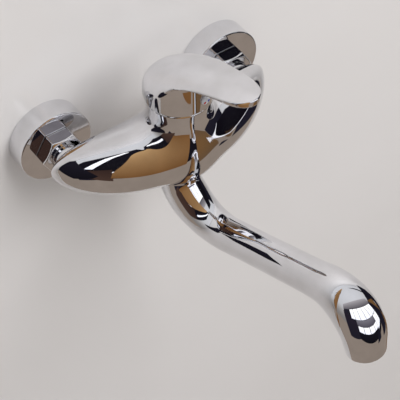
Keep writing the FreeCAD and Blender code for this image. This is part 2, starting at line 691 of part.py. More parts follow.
def spout_hollow():
    """The waterway, from below the nipple to the ledge above the aerator."""
    whole = sum(length for turn, length in spout_route())
    start = spout_station(CAVITY_START)
    end = spout_station(whole - AERATOR_LENGTH - AERATOR_WASHER - AERATOR_SEAT)
    inner = [(at, radius) for at, radius in SPOUT_RADII if start + 0.05 < at < end - 0.05]
    ends = [(start, SPOUT_RADII[1][1]), (end, SPOUT_RADII[-3][1])]
    rings = [ends[0]] + inner + [ends[1]]
    return Part.makeLoft([spout_ring(at, radius - SPOUT_WALL) for at, radius in rings], True, False)


def mouth():
    """Centre of the outlet and the direction in which the water leaves."""
    return spout_place(5.0)


def spout_tube():
    centre, out = mouth()
    depth = AERATOR_LENGTH + AERATOR_WASHER
    thread = cylinder(AERATOR_R + THREAD_GAP, centre - out * depth, centre + out * 3)
    ledge = cylinder(AERATOR_SEAT_R, centre - out * (depth + AERATOR_SEAT + 1), centre)
    socket = hub_rod(NIPPLE_SPOUT_R, SPOUT_TOP - NIPPLE_SPOUT_FOOT, SPOUT_TOP + 1)
    passage = hub_rod(NIPPLE_SPOUT_BORE_R, SPOUT_TOP - CAVITY_START - 2, SPOUT_TOP)
    return spout_outside().cut([spout_hollow(), thread, ledge, socket, passage])


def oring(z):
    centre_r = SPOUT_BORE_R - ORING_R
    return Part.makeTorus(centre_r, ORING_R, at_hub(z), UP)


def spout_nipple():
    foot = SPOUT_TOP - NIPPLE_SPOUT_FOOT
    tube = hub_ring(NIPPLE_SPOUT_R, NIPPLE_SPOUT_BORE_R, foot, NIPPLE_SPOUT_TOP)
    neck = hub_ring(NIPPLE_SPOUT_R + 1, NIPPLE_SPOUT_R - GROOVE_DEPTH,
                    GROOVE_Z - GROOVE_HALF - GRUB_R, GROOVE_Z + GROOVE_HALF + GRUB_R)
    grooves = [neck]
    depth = 2 * ORING_R - RUNNING_GAP
    for z in (ORING_LOW, ORING_HIGH):
        grooves.append(hub_ring(NIPPLE_SPOUT_R + 1, NIPPLE_SPOUT_R - depth,
                                z - ORING_R - 0.1, z + ORING_R + 0.1))
    return tube.cut(grooves)


def spout_o_rings():
    low = oring(ORING_LOW)
    high = oring(ORING_HIGH)
    bound = hub_rod(SPOUT_BORE_R - SLIDE_GAP, ORING_LOW - 3, ORING_HIGH + 3)
    return Part.makeCompound([low.common(bound), high.common(bound)])


def spout_glide_ring():
    return hub_ring(GLIDE_RING_R, NIPPLE_SPOUT_R + THREAD_GAP, SPOUT_TOP, SPOUT_JOINT_Z - SLIDE_GAP)


# Aerator

def aerator_rod(radius, low, high):
    """A rod on the outlet axis; distances are measured from the mouth, outwards."""
    centre, out = mouth()
    return cylinder(radius, centre + out * low, centre + out * high)


def aerator_housing():
    sleeve = aerator_rod(AERATOR_R, -AERATOR_LENGTH, AERATOR_LIP)
    lip = aerator_rod(AERATOR_LIP_R, 0, AERATOR_LIP)
    bore = aerator_rod(AERATOR_R - AERATOR_WALL, -AERATOR_LENGTH - 1, 0.4)
    outlet = aerator_rod(AERATOR_R - AERATOR_WALL - 0.8, 0, AERATOR_LIP + 1)
    return sleeve.fuse(lip).cut([bore, outlet])


def perforated(radius, low, high, hole_r, pitch, rings):
    """A round plate on the outlet axis with rings of small holes."""
    centre, out = mouth()
    across = ALONG
    other = out.cross(across)
    holes = [aerator_rod(hole_r, low - 1, high + 1)]
    for ring in range(1, rings + 1):
        count = 6 * ring
        for k in range(count):
            angle = 2 * math.pi * k / count
            shift = (across * math.cos(angle) + other * math.sin(angle)) * (ring * pitch)
            hole = aerator_rod(hole_r, low - 1, high + 1)
            hole.translate(shift)
            holes.append(hole)
    return aerator_rod(radius, low, high).cut(holes)


def aerator_mesh():
    return perforated(AERATOR_R - AERATOR_WALL, 0.4 - 2 * MESH_THICKNESS, 0.4 - MESH_THICKNESS,
                      MESH_HOLE_R, 2.2, 4)


def aerator_insert():
    high = 0.4 - 2 * MESH_THICKNESS - 0.6
    return perforated(AERATOR_R - AERATOR_WALL, high - INSERT_LENGTH, high, INSERT_HOLE_R, 2.8, 3)


def aerator_washer():
    low = -AERATOR_LENGTH - AERATOR_WASHER
    ring = aerator_rod(AERATOR_R - 0.1, low, -AERATOR_LENGTH)
    return ring.cut(aerator_rod(AERATOR_R - 2.6, low - 1, -AERATOR_LENGTH + 1))


def main():
    os.makedirs("parts", exist_ok=True)
    save("mixer_body", mixer_body())
    save("spout_grub_screw", spout_grub_screw())
    for name, side in (("left", -1), ("right", 1)):
        save("s_union_" + name, s_union(side))
        save("escutcheon_" + name, escutcheon(side))
        save("union_nut_" + name, union_nut(side))
        save("inlet_nipple_" + name, inlet_nipple(side))
        save("filter_washer_" + name, filter_washer(side))
        save("strainer_" + name, strainer(side))
    save("cartridge_base", cartridge_base())
    save("base_seals", base_seals())
    save("cartridge_housing", cartridge_housing())
    save("fixed_ceramic_disc", fixed_ceramic_disc())
    save("cartridge_nut", cartridge_nut())
    save("cover_ring", cover_ring())
    lever_side = [("moving_ceramic_disc", moving_ceramic_disc), ("disc_carrier", disc_carrier),
                  ("swivel_sleeve", swivel_sleeve), ("stem_pin", stem_pin),
                  ("cartridge_stem", cartridge_stem), ("lever_handle", lever_handle),
                  ("lever_set_screw", lever_set_screw), ("index_plug", index_plug)]
    for name, maker in lever_side:
        save(name, swung(maker(), LEVER_SWIVEL))
    save("index_mark_hot", swung(index_mark(-1), LEVER_SWIVEL))
    save("index_mark_cold", swung(index_mark(1), LEVER_SWIVEL))
    spout_side = [("spout_tube", spout_tube), ("spout_nipple", spout_nipple),
                  ("spout_o_rings", spout_o_rings), ("spout_glide_ring", spout_glide_ring),
                  ("aerator_housing", aerator_housing), ("aerator_insert", aerator_insert),
                  ("aerator_mesh", aerator_mesh), ("aerator_washer", aerator_washer)]
    for name, maker in spout_side:
        save(name, swung(maker(), SPOUT_SWIVEL))


main()
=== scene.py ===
import json
import math

import bpy
import numpy as np
from mathutils import Matrix, Vector


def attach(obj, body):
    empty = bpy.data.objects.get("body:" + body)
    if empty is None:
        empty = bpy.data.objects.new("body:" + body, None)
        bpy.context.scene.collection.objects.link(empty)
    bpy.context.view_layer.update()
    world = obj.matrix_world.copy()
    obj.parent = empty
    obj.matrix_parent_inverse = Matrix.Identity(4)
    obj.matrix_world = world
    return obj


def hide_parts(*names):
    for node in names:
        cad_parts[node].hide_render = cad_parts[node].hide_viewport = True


# Wall-mounted single-lever kitchen tap. Shapes are worked out in millimetres and
# turned into metres as each mesh is made. X runs along the wall, +Y into it, +Z up.

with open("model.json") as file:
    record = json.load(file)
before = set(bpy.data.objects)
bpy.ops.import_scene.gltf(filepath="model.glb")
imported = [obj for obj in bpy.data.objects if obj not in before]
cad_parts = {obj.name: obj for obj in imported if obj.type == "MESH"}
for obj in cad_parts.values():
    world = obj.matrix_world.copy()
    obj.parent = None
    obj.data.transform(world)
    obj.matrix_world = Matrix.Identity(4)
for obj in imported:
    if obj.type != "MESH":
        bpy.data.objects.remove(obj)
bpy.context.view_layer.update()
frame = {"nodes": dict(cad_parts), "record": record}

MM = 0.001
TURN = 2 * math.pi

# Escutcheons and union nuts
INLET_X = 75.0
ESCUTCHEON_R = 29.5
ESCUTCHEON_DEPTH = 17.4
ESCUTCHEON_WALL = 1.2
ESCUTCHEON_EDGE = 1.2           # rounding of the front rim
UNION_HOLE_R = 13.25
COLLAR_LENGTH = 6.0             # sleeve round the union inside the escutcheon
COLLAR_WALL = 1.7
NUT_HALF_FLATS = 15.0
NUT_START = 17.7                # distances from the wall
NUT_END = 28.8
NUT_FACE_R = 14.6
NUT_CHAMFER = 30.0              # degrees
NUT_BORE_R = 10.47

# Body casting
BODY_HALF_LENGTH = 92.7
BODY_BACK = 30.5
BODY_TIP_OUT = 38.0
BODY_FRONT = 88.5
BODY_TOP = 24.0
BODY_BOTTOM = 26.5
SECTION_POWER = 2.1             # how square a section of the wing is
FRONT_POWER = 0.667             # how the wings narrow towards their tips, seen from above
TOP_POWER = 0.42                # and from the front
BOTTOM_POWER = 0.5
TIP_POWER = 1.4                 # how round the tips are
HUB_OUT = 63.2
HUB_R = 25.7
HUB_TOP = 46.5
HUB_RIM_EDGE = 1.4
HUB_BORE_R = 20.45
HUB_WELL = 6.0                  # depth of the well that shows under the lever
SPOUT_JOINT_Z = -31.0
JOINT_R = 14.6
JOINT_EDGE = 0.9
SPOUT_BORE_R = 10.0
SPOUT_BORE_TOP = -8.0
GRUB_Z = -13.0                  # height of the grub screw's hole at the back
GRUB_BORE_R = 2.05
HOLE_EDGE = 0.5
WING_BLEND = 15.0               # how softly the wings flow into the hub
TRUNK = [(46.1, 23.9), (42.0, 23.4), (36.5, 22.8), (28.5, 22.3), (16.5, 22.0), (-3.5, 22.2),
         (-14.0, 21.2), (-21.5, 17.8), (-27.5, 15.3), (SPOUT_JOINT_Z, JOINT_R)]

# Cover ring
PIVOT_Z = 50.0
COVER_R = 23.7
COVER_TOP = 55.0
COVER_BORE_R = 14.0
COVER_WALL = 1.5

# Lever
LEVER_SWIVEL = 12.0             # degrees that it stands to the right
LEVER_LIFT = 20.0               # degrees that it can rise
CREST_REACH = 61.0
CREST_Z = 88.0
LONG_R = 155.0
CROWN_R = 48.0
GRIP_THICK = 5.2                # along the grip's middle; its underside is level across
ROOF = 4.5                      # thickness of the top over the hub
TOP_EDGE = 1.3                  # rounding of the top's rim along the grip
SHOULDER_EDGE = 5.7             # what the rounding gains over the hub
SHOULDER_FROM = 22.0            # reach at which it starts to grow
SHOULDER_RUN = 26.0             # and the length over which it does
WAIST_FROM = 9.0                # the same for the fillet between grip and skirt
WAIST_RUN = 14.0
WAIST_BLEND = 6.0
SKIRT_WALL = 1.7
CAVITY_EDGE = 2.0
RING_GAP = 0.2                  # room that the raised lever leaves round the cover ring
RING_HEADROOM = 0.5
SKIRT_BOTTOM = 48.3
SKIRT_REAR_HUB = 47.0           # height that the raised skirt keeps above the hub behind
LEAF_START = 8.0                # reach at which the grip leaves the round skirt
LEAF = [(LEAF_START, (HUB_R ** 2 - LEAF_START ** 2) ** 0.5), (24.0, 19.6), (38.0, 16.9),
        (52.0, 15.0), (62.0, 12.4), (68.5, 7.6), (71.5, 0.0)]
PLAN_CENTRE = 20.0              # reach of the point that the grip's plan is measured about
BOSS_R = 8.4
BOSS_BOTTOM = 60.5
PLUG_Z = 58.6
PLUG_LONG = 4.6                 # half width of the oval button
PLUG_SHORT = 4.3                # half height
PLUG_HEAD = 1.2
PLUG_RINGS = 14
MARK_PROUD = 0.06               # how far the index marks stand out of the button

# Spout
SPOUT_SWIVEL = 12.0             # degrees that it stands to the right
SPOUT_TOP = -31.5
SPOUT_WALL = 2.6
NECK_BEND, NECK_BEND_R = 35.0, 22.0
LOW_BEND, LOW_BEND_R = 66.0, 46.9
SPOUT_RUN = 88.2
END_BEND, END_BEND_R = 89.0, 34.0
MOUTH_RUN = 13.5
NIPPLE_R = 9.9                  # socket for the nipple at the top of the spout
NIPPLE_FOOT = 8.0
WATERWAY_R = 6.5
CAVITY_START = 15.0             # distance down the spout at which its bore widens
SPOUT_RADII = [(0.0, 14.6), (0.5, 15.2), (1.14, 15.8), (1.51, 14.6), (1.92, 13.5), (2.17, 13.3),
               (2.42, 13.3), (2.68, 13.5), (2.93, 13.9), (3.12, 15.0), (3.41, 16.8), (3.67, 17.6),
               (4.0, 16.5), (4.5, 15.6), (5.0, 14.8)]
AERATOR_R = 12.05
AERATOR_DEPTH = 12.2
AERATOR_LIP = 1.6
AERATOR_LIP_R = 13.2
AERATOR_BORE_R = 9.6
AERATOR_WALL = 1.65
AERATOR_LENGTH = 10.0
SEAT_R = 9.5                    # ledge that the aerator's washer meets
SEAT_THICK = 2.0

# Studio, in metres. The chrome mirrors cards that stand out from the wall.
NEAR_Y = -0.226
RIGHT_Y = -0.24
FAR_Y = -1.60
FAR_X = 3.5                     # half width of the far cards
SCREEN_TOP = 1.45               # where the dark far screen meets the grey one
BOARD_Z = -0.75                 # height of the card that stands in for the floor
FLOOR_Z = -1.2
BLACK, NEAR_BLACK, DIM = "17151B", "1B1A24", "23212C"
PANE = ("F2F4FF", "FFFFFF")
PANE_STRENGTH = 1.5
PANE_GAP = 0.02                 # half the bar between two panes
LAMP_PLACE, LAMP_AIM = (0.7, -1.3, 1.3), (0, -0.1, 0)
LAMP_SIZE, LAMP_WATTS = 1.2, 28.0
ROOM_STRENGTH = 0.86

# Camera, found from the round escutcheons: degrees, then millimetres right, down and back
AZIMUTH, ELEVATION, ROLL = -35.68, 47.29, 0.27
CAMERA_RIGHT, CAMERA_DOWN, CAMERA_BACK = 51.88, 80.59, 1188.83
LENS, SENSOR = 144.0, 36.0


# Curves

def spline(knots, values, at):
    """A natural cubic curve through the knots."""
    x = np.asarray(knots, float)
    y = np.asarray(values, float)
    gap = np.diff(x)
    rise = np.diff(y) / gap
    count = len(x)
    system = np.eye(count)
    right = np.zeros(count)
    for k in range(1, count - 1):
        system[k, k - 1:k + 2] = gap[k - 1], 2 * (gap[k - 1] + gap[k]), gap[k]
        right[k] = 6 * (rise[k] - rise[k - 1])
    bend = np.linalg.solve(system, right)
    at = np.clip(at, x[0], x[-1])
    k = np.clip(np.searchsorted(x, at) - 1, 0, count - 2)
    t = at - x[k]
    first = rise[k] - gap[k] * (2 * bend[k] + bend[k + 1]) / 6
    return y[k] + t * (first + t * (bend[k] / 2 + t * (bend[k + 1] - bend[k]) / (6 * gap[k])))


def swung(points, degrees):
    """Points or directions in the lever's or spout's own frame, turned about the hub axis."""
    turn = math.radians(degrees)
    c, s = math.cos(turn), math.sin(turn)
    spin = np.array([[c, -s, 0.0], [s, c, 0.0], [0.0, 0.0, 1.0]])
    return points @ spin.T


def from_hub(out, side, z):
    """Points by their reach out of the wall from the hub axis, side offset and height."""
    return np.stack([side, -out, z], axis=-1)


def about_hub(points):
    """Points measured from the hub axis, set in the frame of the whole tap."""
    return points + np.array([0.0, -HUB_OUT, 0.0])


# Solid forms as distance fields, in millimetres, negative inside

def joined(a, b, soft):
    """Union of two forms with a soft fillet between them."""
    near = np.maximum(soft - np.abs(a - b), 0) / soft
    return np.minimum(a, b) - near ** 2 * soft / 4


def common(a, b, soft):
    """What two forms share, with the edge between them eased."""
    return -joined(-a, -b, soft)


def gradient(field, points, step=0.12):
    """How fast a form's distance changes along each axis."""
    parts = []
    for axis in np.eye(3) * step:
        parts.append((field(points + axis) - field(points - axis)) / (2 * step))
    return np.stack(parts, axis=-1)


def skinned(field, low, high, step):
    """Even quads over a form's surface, with the exact direction of the surface at each point."""
    axes = [np.arange(a, b + step, step) for a, b in zip(low, high)]
    grid = np.stack(np.meshgrid(*axes, indexing="ij"), axis=-1)
    inside = field(grid.reshape(-1, 3)).reshape(grid.shape[:3]) < 0
    count = np.zeros([n - 1 for n in inside.shape], int)
    for i in (0, 1):
        for j in (0, 1):
            for k in (0, 1):
                count += inside[i:i + count.shape[0], j:j + count.shape[1], k:k + count.shape[2]]
    crossed = (count > 0) & (count < 8)
    index = np.full(count.shape, -1)
    index[crossed] = np.arange(crossed.sum())
    points = np.argwhere(crossed) * step + np.array([a[0] for a in axes]) + step / 2
    quads = []
    for axis in range(3):
        solid = np.moveaxis(inside, axis, 0)
        cells = np.moveaxis(index, axis, 0)
        i, j, k = np.nonzero(solid[:-1, 1:-1, 1:-1] != solid[1:, 1:-1, 1:-1])
        ring = np.stack([cells[i, j, k], cells[i, j + 1, k], cells[i, j + 1, k + 1],
                         cells[i, j, k + 1]], axis=1)
        backwards = ~solid[i, j + 1, k + 1]
        if axis == 1:
            backwards = ~backwards
        ring[backwards] = ring[backwards][:, ::-1]
        quads.append(ring)
    quads = np.concatenate(quads)
    ends = np.concatenate([quads[:, [k, (k + 1) % 4]] for k in range(4)])
    ends = np.unique(np.sort(ends, axis=1), axis=0)
    both = np.concatenate([ends, ends[:, ::-1]])
    share = np.bincount(both[:, 0], minlength=len(points))[:, None]
    for turn in range(6):
        if turn:
            mean = np.stack([np.bincount(both[:, 0], weights=points[both[:, 1], a],
                                         minlength=len(points)) for a in range(3)], axis=-1)
            points = points + 0.5 * (mean / share - points)
        for repeat in range(2):
            slope = gradient(field, points)
            steep = np.maximum((slope ** 2).sum(1), 0.04)
            move = slope * (field(points) / steep)[:, None]
            length = np.linalg.norm(move, axis=1, keepdims=True)
            points = points - move * np.minimum(1, step / np.maximum(length, 1e-9))
    slope = gradient(field, points)
    return points, quads, slope / np.linalg.norm(slope, axis=1, keepdims=True)


# Meshes

def placed(name, data):
    """An object for a mesh, lamp or camera, linked to the scene."""
    made = bpy.data.objects.new(name, data)
    bpy.context.scene.collection.objects.link(made)
    return made


def smoothed(name, points, faces):
    """A smooth-shaded mesh from points in millimetres."""
    mesh = bpy.data.meshes.new(name)
    mesh.from_pydata((points * MM).tolist(), [], faces)
    mesh.update()
    mesh.polygons.foreach_set("use_smooth", [True] * len(mesh.polygons))
    return mesh


def piece(name, points, faces, normals, body, slot, *nodes):
    """A smooth mesh piece that rides on a body and stands for CAD nodes."""
    mesh = smoothed(name, points, faces.tolist())
    mesh.normals_split_custom_set_from_vertices(normals.tolist())
    made = placed(name, mesh)
    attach(made, body)
    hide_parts(*nodes)
    return made


def eased(corners, parts=6):
    """A closed outline with each corner rounded; a corner is distance, radius, rounding."""
    points = []
    for k, (s, r, ease) in enumerate(corners):
        here = np.array([s, r])
        before = np.array(corners[k - 1][:2]) - here
        after = np.array(corners[(k + 1) % len(corners)][:2]) - here
        if ease <= 0:
            points.append(here)
            continue
        before_length, after_length = np.linalg.norm(before), np.linalg.norm(after)
        before, after = before / before_length, after / after_length
        half = math.acos(max(-1.0, min(1.0, float(before @ after)))) / 2
        reach = min(ease / math.tan(half), 0.49 * before_length, 0.49 * after_length)
        ease = reach * math.tan(half)
        centre = here + (before + after) / np.linalg.norm(before + after) * (ease / math.sin(half))
        start, end = here + before * reach - centre, here + after * reach - centre
        sweep = math.pi - 2 * half
        for step in range(parts + 1):
            t = step / parts
            points.append(centre + (start * math.sin((1 - t) * sweep)
                                    + end * math.sin(t * sweep)) / math.sin(sweep))
    return np.array(points)


def outline_normals(points):
    """Outward directions along an outline, led by its longer sides."""
    sides = np.roll(points, -1, axis=0) - points
    length = np.linalg.norm(sides, axis=1, keepdims=True)
    square = np.stack([sides[:, 1], -sides[:, 0]], axis=1) * length
    total = square + np.roll(square, 1, axis=0)
    return total / np.linalg.norm(total, axis=1, keepdims=True)


def rolled(outline, place, around=128):
    """A closed outline taken round an axis or along a route by a place function."""
    turning = np.roll(outline, -1, axis=0)
    if (outline[:, 0] * turning[:, 1] - outline[:, 1] * turning[:, 0]).sum() < 0:
        outline = outline[::-1]
    normals = outline_normals(outline)
    angles = np.arange(around) * TURN / around
    rows = len(outline)
    points = np.zeros((rows, around, 3))
    directions = np.zeros((rows, around, 3))
    for row, ((s, r), (ns, nr)) in enumerate(zip(outline, normals)):
        centre, along, first, second, bend = place(s)
        ring = np.outer(np.cos(angles), first) + np.outer(np.sin(angles), second)
        points[row] = centre + ring * r
        narrow = 1 - bend * r * np.cos(angles)
        directions[row] = along * ns + ring * (nr * narrow)[:, None]
    directions /= np.linalg.norm(directions, axis=2, keepdims=True)
    k = np.arange(around)
    after = (k + 1) % around
    faces = []
    for row in range(rows):
        following = (row + 1) % rows
        faces.append(np.stack([row * around + k, following * around + k,
                               following * around + after, row * around + after], axis=1))
    return points.reshape(-1, 3), np.concatenate(faces), directions.reshape(-1, 3)


def straight(origin, along):
    """A place function for turning an outline about a straight axis."""
    along = np.asarray(along, float) / np.linalg.norm(along)
    first = np.cross(along, [0.0, 0.0, 1.0] if abs(along[2]) < 0.9 else [1.0, 0.0, 0.0])
    first /= np.linalg.norm(first)
    second = np.cross(along, first)
    origin = np.asarray(origin, float)
    return lambda s: (origin + along * s, along, first, second, 0.0)


# Body casting

def wing_form(points):
    """The two wings; sections narrow to a rounded tip at each end."""
    x, y, z = points.T
    part = np.abs(x) / BODY_HALF_LENGTH
    room = 1 - part ** 2
    slim = np.abs(1 - part ** 3)
    front = BODY_TIP_OUT + (BODY_FRONT - BODY_TIP_OUT) * np.abs(room) ** FRONT_POWER
    back = BODY_BACK + (BODY_TIP_OUT - BODY_BACK) * np.minimum(part, 1.1) ** 10
    top = BODY_TOP * slim ** TOP_POWER
    bottom = BODY_BOTTOM * slim ** BOTTOM_POWER
    deep = np.abs(y + (front + back) / 2) / np.maximum((front - back) / 2, 0.01)
    high = np.abs(z - (top - bottom) / 2) / np.maximum((top + bottom) / 2, 0.01)
    fill = (deep ** SECTION_POWER + high ** SECTION_POWER) * np.abs(room) ** TIP_POWER
    return fill ** (1 / TIP_POWER) - room


def wings(points):
    """The wings' form, evened out to a distance in millimetres."""
    slope = gradient(wing_form, points, 0.4)
    return wing_form(points) / np.maximum(np.linalg.norm(slope, axis=1), 0.004)


def trunk(points):
    """The hub and its waist down to the spout, turned about the hub axis."""
    x, y, z = points.T
    knots = [height for height, r in TRUNK[::-1]]
    radii = [r for height, r in TRUNK[::-1]]
    radius = spline(knots, radii, z)
    lean = (spline(knots, radii, z + 0.2) - spline(knots, radii, z - 0.2)) / 0.4
    return (np.hypot(x, y + HUB_OUT) - radius) / np.sqrt(1 + lean ** 2)


def casting(points):
    """The whole body: wings and hub in one, with the well and the bores that show."""
    x, y, z = points.T
    away = np.hypot(x, y + HUB_OUT)
    form = joined(wings(points), trunk(points), WING_BLEND)
    form = common(form, z - HUB_TOP, HUB_RIM_EDGE)
    form = common(form, SPOUT_JOINT_Z - z, JOINT_EDGE)
    well = np.maximum(away - HUB_BORE_R, HUB_TOP - HUB_WELL - z)
    spout_bore = np.maximum(away - SPOUT_BORE_R, z - SPOUT_BORE_TOP)
    screw_bore = np.maximum(np.hypot(x, z - GRUB_Z) - GRUB_BORE_R, -y - HUB_OUT)
    for hollow in (well, spout_bore, screw_bore):
        form = common(form, -hollow, HOLE_EDGE)
    return form


def body_casting():
    """The cast body with its two wings."""
    room = 2.4
    low = (-BODY_HALF_LENGTH - room, -BODY_FRONT - room, SPOUT_JOINT_Z - room)
    high = (BODY_HALF_LENGTH + room, -BODY_BACK + room, HUB_TOP + room)
    points, faces, normals = skinned(casting, low, high, step=0.95)
    return piece("body_casting", points, faces, normals, "body", "chrome", "mixer_body")


# Fittings at the wall

def escutcheon_shell(name, x):
    """A spun cup against the wall, with a sleeve that holds it on the union."""
    depth, r, thick = ESCUTCHEON_DEPTH, ESCUTCHEON_R, ESCUTCHEON_WALL
    collar, foot = UNION_HOLE_R + COLLAR_WALL, depth - COLLAR_LENGTH
    corners = [(0.0, r, 0.25), (depth, r, ESCUTCHEON_EDGE), (depth, UNION_HOLE_R, 0.3),
               (foot, UNION_HOLE_R, 0.2), (foot, collar, 0.2), (depth - thick, collar, 0.3),
               (depth - thick, r - thick, 0.5), (0.0, r - thick, 0.25)]
    points, faces, normals = rolled(eased(corners), straight((x, 0, 0), (0, -1, 0)), around=160)
    return piece("escutcheon_shell_" + name, points, faces, normals, "body", "chrome",
                 "escutcheon_" + name)


def union_nut(name, x):
    """A hexagon nut, chamfered towards the body."""
    tilt = math.radians(NUT_CHAMFER)

    def nut_form(points):
        """The nut as a distance field."""
        across, out, up = points[:, 0] - x, -points[:, 1], points[:, 2]
        nut = np.full(len(points), -100.0)
        for turn in (30.0, 90.0, 150.0):
            c, s = math.cos(math.radians(turn)), math.sin(math.radians(turn))
            nut = common(nut, np.abs(across * c + up * s) - NUT_HALF_FLATS, 0.8)
        away = np.hypot(across, up)
        cone = (away - NUT_FACE_R) * math.sin(tilt) + (out - NUT_END) * math.cos(tilt)
        nut = common(nut, cone, 0.7)
        nut = common(nut, np.abs(out - (NUT_START + NUT_END) / 2)
                     - (NUT_END - NUT_START) / 2, 0.5)
        return common(nut, NUT_BORE_R - away, 0.5)

    low = (x - 18.4, -NUT_END - 1.2, -16.4)
    high = (x + 18.4, -NUT_START + 1.2, 16.4)
    points, faces, normals = skinned(nut_form, low, high, step=0.45)
    return piece("hexagon_nut_" + name, points, faces, normals, "body", "chrome",
                 "union_nut_" + name)


# Lever

def leaf_table():
    """Radius of the lever's plan about a point under the grip, by angle, and its slant."""
    half = LEAF + [(reach, -side) for reach, side in LEAF[-2::-1]]
    path = np.array(half)
    run = np.concatenate([[0], np.cumsum(np.linalg.norm(np.diff(path, axis=0), axis=1))])
    fine = np.linspace(0, run[-1], 1500)
    leaf = np.stack([spline(run, path[:, 0], fine), spline(run, path[:, 1], fine)], axis=1)
    opening = math.atan2(LEAF[0][1], LEAF[0][0])
    sweep = np.linspace(-opening, -TURN + opening, 1500)
    rear = np.stack([HUB_R * np.cos(sweep), HUB_R * np.sin(sweep)], axis=1)
    loop = np.concatenate([leaf, rear]) - np.array([PLAN_CENTRE, 0.0])
    angle = np.arctan2(loop[:, 1], loop[:, 0])
    order = np.argsort(angle)
    angles = np.linspace(-math.pi, math.pi, 1441)
    radius = np.interp(angles, angle[order], np.linalg.norm(loop, axis=1)[order],
                       period=TURN)
    slope = np.gradient(radius, angles)
    return angles, radius, radius / np.hypot(radius, slope)


PLAN = leaf_table()


def plan_distance(out, side):
    """Distance outside the lever's plan."""
    angles, radius, slant = PLAN
    angle = np.arctan2(side, out - PLAN_CENTRE)
    away = np.hypot(side, out - PLAN_CENTRE)
    return (away - np.interp(angle, angles, radius)) * np.interp(angle, angles, slant)


def eased_in(share):
    """Rises smoothly from 0 to 1 as the share does."""
    share = np.clip(share, 0, 1)
    return share * share * (3 - 2 * share)


def lever_form(points):
    """The lever straight out from the wall; points are side, minus reach and height."""
    side, out, z = points[:, 0], -points[:, 1], points[:, 2]
    bow = np.hypot(out - CREST_REACH, z - CREST_Z + LONG_R)
    top = np.hypot(bow - LONG_R + CROWN_R, side) - CROWN_R
    away = np.hypot(out, side)
    plate = common(plan_distance(out, side), LONG_R - GRIP_THICK - bow, 0.9)
    merge = 0.02 + WAIST_BLEND * eased_in((out - WAIST_FROM) / WAIST_RUN)
    outer = joined(plate, away - HUB_R, merge)
    rounding = TOP_EDGE + SHOULDER_EDGE * eased_in((SHOULDER_FROM - out) / SHOULDER_RUN)
    outer = common(outer, top, rounding)
    cavity = common(away - HUB_R + SKIRT_WALL, top + ROOF, CAVITY_EDGE)
    form = common(outer, -cavity, 0.1)
    lift = math.radians(LEVER_LIFT)
    rear = PIVOT_Z + (SKIRT_REAR_HUB - PIVOT_Z - out * math.sin(lift)) / math.cos(lift)
    edge = np.maximum(SKIRT_BOTTOM, rear)
    form = np.where(away < HUB_R + 8, common(form, (edge - z) * 0.95, 0.7), form)
    boss = common(away - BOSS_R, BOSS_BOTTOM - z, 0.8)
    boss = np.maximum(boss, top + 1)
    form = joined(form, boss, 0.6)
    turned_z = (z - PIVOT_Z) * math.cos(lift) + out * math.sin(lift)
    swept = np.maximum(np.hypot(away, z - PIVOT_Z) - COVER_R - RING_GAP,
                       turned_z - (COVER_TOP - PIVOT_Z + RING_HEADROOM))
    return np.maximum(form, -swept)


def lever():
    """The lever as it stands in the photo, turned a little to the right."""
    low, high = (-27.4, -73.6, 46.6), (27.4, 27.6, 90.4)
    points, faces, normals = skinned(lever_form, low, high, step=0.6)
    points = about_hub(swung(points, LEVER_SWIVEL))
    return piece("lever_leaf", points, faces, swung(normals, LEVER_SWIVEL), "lever", "chrome",
                 "lever_handle")


def cover_ball():
    """The polished ring, part of a ball about the stem pin."""
    rise = np.linspace(math.asin((HUB_TOP - PIVOT_Z) / COVER_R),
                       math.asin((COVER_TOP - PIVOT_Z - 0.3) / COVER_R), 24)
    arc = [(PIVOT_Z + COVER_R * math.sin(a), COVER_R * math.cos(a)) for a in rise]
    shelf = COVER_TOP - COVER_WALL
    inner = [(COVER_TOP, COVER_R - 1.0), (COVER_TOP, COVER_BORE_R), (shelf, COVER_BORE_R),
             (shelf, HUB_BORE_R), (HUB_TOP, HUB_BORE_R)]
    outline = np.array(arc + inner)
    points, faces, normals = rolled(outline, straight((0, -HUB_OUT, 0), (0, 0, 1)))
    return piece("cover_ball", points, faces, normals, "body", "chrome", "cover_ring")


def index_button():
    """The oval button on the front of the lever; its back follows the round wall."""
    around = 64
    outer = HUB_R + PLUG_HEAD - MARK_PROUD
    angles = np.arange(around) * TURN / around
    face = [(k / PLUG_RINGS, 0.0) for k in range(1, PLUG_RINGS)]
    rim = [(0.975, 0.08), (1.0, 0.35), (1.0, 1.1)]
    points = []
    for share, drop in face + rim:
        side = PLUG_LONG * share * np.cos(angles)
        rise = PLUG_SHORT * share * np.sin(angles)
        r = outer - drop
        points.append(from_hub(np.sqrt(r ** 2 - side ** 2), side, PLUG_Z + rise))
    points.append(from_hub(np.full(1, outer), np.zeros(1), np.full(1, PLUG_Z)))
    points.append(from_hub(np.full(1, HUB_R + 0.1), np.zeros(1), np.full(1, PLUG_Z)))
    points = np.concatenate(points)
    count = len(face) + len(rim)
    faces = []
    middle, back = count * around, count * around + 1
    for k in range(around):
        after = (k + 1) % around
        faces.append([middle, k, after])
        for row in range(count - 1):
            faces.append([row * around + k, (row + 1) * around + k,
                          (row + 1) * around + after, row * around + after])
        faces.append([back, (count - 1) * around + after, (count - 1) * around + k])
    points = about_hub(swung(points, LEVER_SWIVEL))
    made = placed("index_button", smoothed("index_button", points, faces))
    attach(made, "lever")
    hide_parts("index_plug")
    return made


# Spout

def stretch(degrees, radius):
    """One stretch of the spout's route: how far it turns, and its length."""
    return degrees, radius * math.radians(abs(degrees))


SPOUT_ROUTE = [stretch(NECK_BEND, NECK_BEND_R), stretch(LOW_BEND, LOW_BEND_R), (0.0, SPOUT_RUN),
               stretch(-END_BEND, END_BEND_R), (0.0, MOUTH_RUN)]
SPOUT_MARKS = np.concatenate([[0.0], np.cumsum([length for turn, length in SPOUT_ROUTE])])


